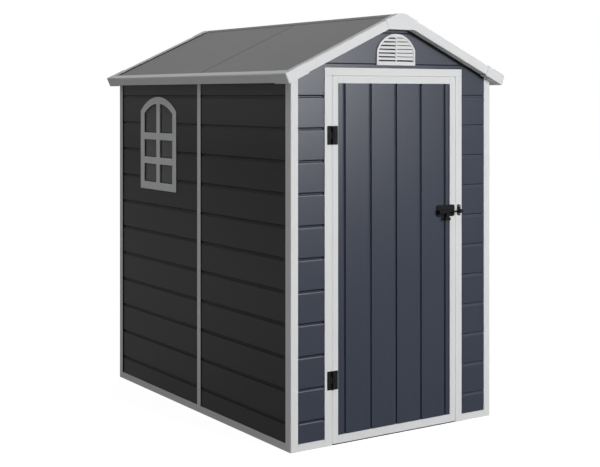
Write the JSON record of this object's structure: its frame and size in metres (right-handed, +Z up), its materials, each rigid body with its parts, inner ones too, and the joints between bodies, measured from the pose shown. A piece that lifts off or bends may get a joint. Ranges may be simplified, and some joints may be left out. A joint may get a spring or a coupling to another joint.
{
  "type": "plastic garden shed",
  "caption": "Plastic garden shed with a pitched roof, board-pattern walls, a hinged door held by a barrel bolt and an arched side window.",
  "frame": {"origin": "middle of the footprint at ground level", "axes": "+Z up; the front with the door faces -Y; +X is to the right seen from the front"},
  "size_m": [1.3978, 2.018, 2.13],
  "materials": {
    "cladding_plastic": "moulded, light wood texture",
    "frame_plastic": "moulded, smooth matte",
    "roof_plastic": "moulded, fine grain",
    "floor_plastic": "moulded, ribbed grain",
    "window_pane": "clear glazing that looks dark",
    "beam_metal": "galvanised",
    "black_hardware": "black powder coat"
  },
  "bodies": {
    "root": {"floor_panel": "floor_plastic", "base_rails": "frame_plastic", "post_front_left": "frame_plastic", "post_front_right": "frame_plastic", "post_back_left": "frame_plastic", "post_back_right": "frame_plastic", "wall_left_front": "cladding_plastic", "wall_left_back": "cladding_plastic", "wall_right_front": "cladding_plastic", "wall_right_back": "cladding_plastic", "wall_back_left": "cladding_plastic", "wall_back_right": "cladding_plastic", "wall_front_left": "cladding_plastic", "wall_front_right": "cladding_plastic", "gable_front": "cladding_plastic", "joint_strips": "frame_plastic", "door_jamb_left": "frame_plastic", "door_jamb_right": "frame_plastic", "door_head": "frame_plastic", "window_frame": "frame_plastic", "window_glass": "window_pane", "gable_vent": "frame_plastic", "roof_left_front": "roof_plastic", "roof_left_back": "roof_plastic", "roof_right_front": "roof_plastic", "roof_right_back": "roof_plastic", "ridge_beam": "beam_metal", "ridge_strip": "roof_plastic", "eave_trim_left": "frame_plastic", "eave_trim_right": "frame_plastic", "rake_trims_front": "frame_plastic", "rake_trims_back": "frame_plastic", "corner_caps": "frame_plastic", "apex_caps": "frame_plastic", "hinge_jamb_leaves": "black_hardware", "bolt_keeper": "black_hardware"},
    "door": {"door_stile_left": "frame_plastic", "door_stile_right": "frame_plastic", "door_top_rail": "frame_plastic", "door_bottom_rail": "frame_plastic", "door_panel": "cladding_plastic", "hinge_door_leaves": "black_hardware", "bolt_housing": "black_hardware"},
    "bolt": {"bolt_rod": "black_hardware"}
  },
  "joints": [
    {"name": "door_hinge", "type": "hinge", "parent": "root", "child": "door", "pos_m": [-0.392, -0.963, 0.9185], "axis": [0, 0, -1], "range_deg": [0, 110]},
    {"name": "bolt_slide", "type": "slide", "parent": "door", "child": "bolt", "axis": [1, 0, 0], "range_m": [0, 0.025]}
  ]
}
